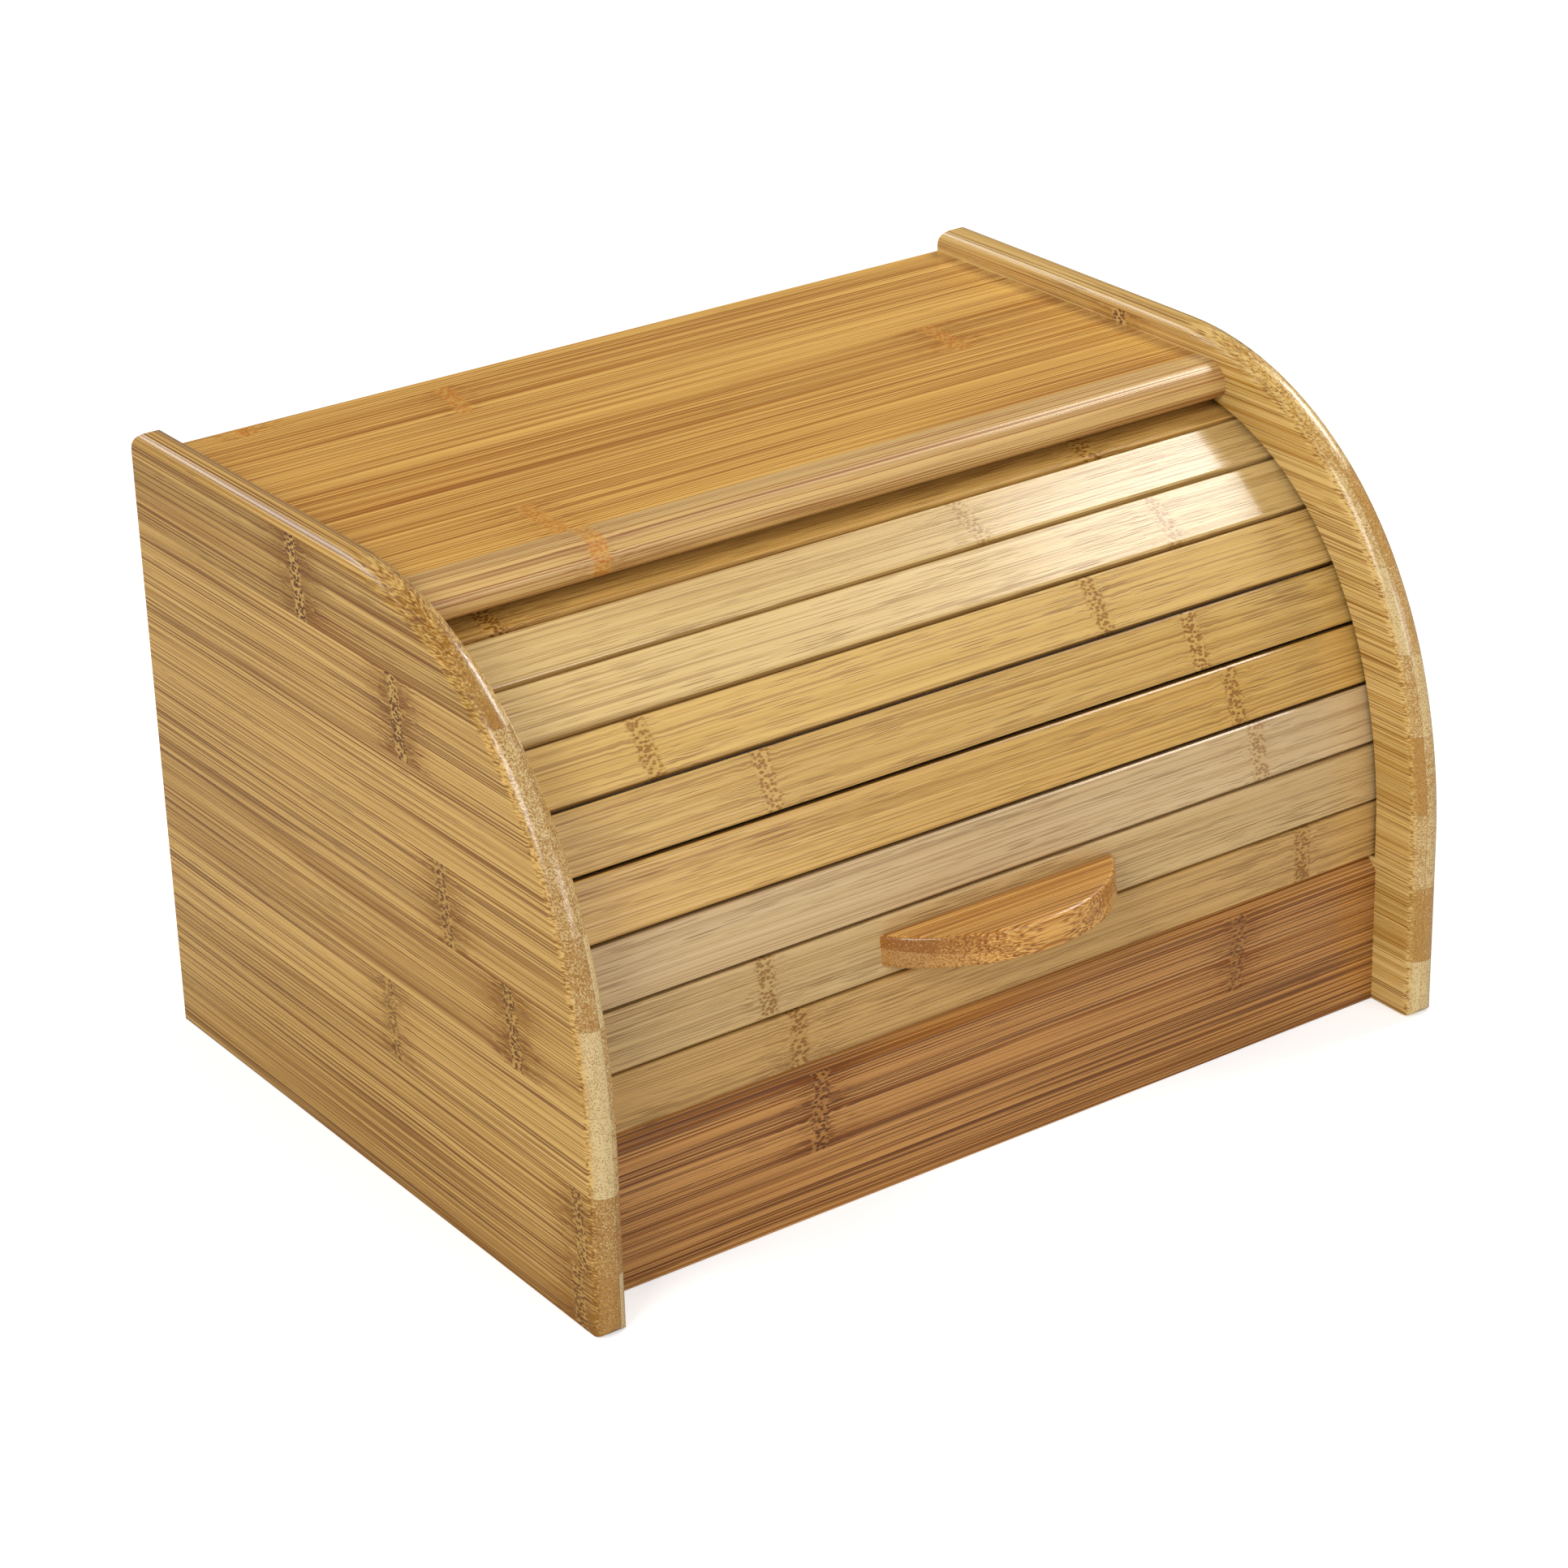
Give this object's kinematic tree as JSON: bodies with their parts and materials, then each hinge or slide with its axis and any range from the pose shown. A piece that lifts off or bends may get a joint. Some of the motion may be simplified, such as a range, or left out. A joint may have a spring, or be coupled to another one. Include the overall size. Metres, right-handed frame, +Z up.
{
  "type": "bread box with roll-top cover",
  "caption": "Bamboo bread box with rounded side panels, a flat top board and a slatted roll-top cover that runs in grooves and goes down behind, with a half-moon handle.",
  "frame": {"origin": "on the ground, in the middle of the bounding box of box and handle", "axes": "+Z up, +X to the right seen from the front, -Y towards the front with the handle"},
  "size_m": [0.39, 0.3056, 0.248],
  "materials": {
    "panel_bamboo": "satin lacquered laminated bamboo",
    "top_bamboo": "satin lacquered laminated bamboo",
    "board_bamboo": "satin lacquered laminated bamboo",
    "front_bamboo": "satin lacquered carbonised bamboo",
    "slat_bamboo": "satin lacquered bamboo",
    "handle_bamboo": "satin lacquered bamboo",
    "canvas": "plain weave cotton canvas",
    "screw_steel": "zinc plated",
    "dowel_wood": "plain beech"
  },
  "bodies": {
    "carcass": {"side_panel_left": "panel_bamboo", "side_panel_right": "panel_bamboo", "top_board": "top_bamboo", "back_panel": "board_bamboo", "bottom_board": "board_bamboo", "front_board": "front_bamboo", "dowels": "dowel_wood"},
    "cover": {"slat_05": "slat_bamboo", "slat_06": "slat_bamboo", "slat_07": "slat_bamboo", "slat_08": "slat_bamboo", "slat_09": "slat_bamboo", "slat_10": "slat_bamboo", "slat_11": "slat_bamboo", "cloth_main": "canvas"},
    "slat_4": {"slat_04": "slat_bamboo", "cloth_strip_04": "canvas"},
    "slat_3": {"slat_03": "slat_bamboo", "cloth_strip_03": "canvas"},
    "pull_slat": {"slat_02": "slat_bamboo", "cloth_strip_02": "canvas", "handle": "handle_bamboo", "handle_screws": "screw_steel"},
    "foot_slat": {"slat_01": "slat_bamboo", "cloth_strip_01": "canvas"}
  },
  "joints": [
    {"name": "cover_roll", "type": "hinge", "parent": "carcass", "child": "cover", "pos_m": [0, 0.00012, 0.108], "axis": [-1, 0, 0], "range_deg": [0, 80.5]},
    {"name": "foot_slat_roll", "type": "hinge", "parent": "carcass", "child": "foot_slat", "pos_m": [0, 0.03875, 0.07813], "axis": [-1, 0, 0], "range_deg": [0, 55.64]},
    {"name": "pull_slat_roll", "type": "hinge", "parent": "carcass", "child": "pull_slat", "pos_m": [0, 0.01901, 0.08761], "axis": [-1, 0, 0], "range_deg": [0, 64.52]},
    {"name": "slat_3_roll", "type": "hinge", "parent": "carcass", "child": "slat_3", "pos_m": [0, 0.00801, 0.09638], "axis": [-1, 0, 0], "range_deg": [0, 71.77]},
    {"name": "slat_4_roll", "type": "hinge", "parent": "carcass", "child": "slat_4", "pos_m": [0, 0.00252, 0.10309], "axis": [-1, 0, 0], "range_deg": [0, 76.95]}
  ],
  "couplings": [
    {"joint": "foot_slat_roll", "follows": "cover_roll", "ratio": 0.691},
    {"joint": "pull_slat_roll", "follows": "cover_roll", "ratio": 0.8014},
    {"joint": "slat_3_roll", "follows": "cover_roll", "ratio": 0.8914},
    {"joint": "slat_4_roll", "follows": "cover_roll", "ratio": 0.9558}
  ]
}
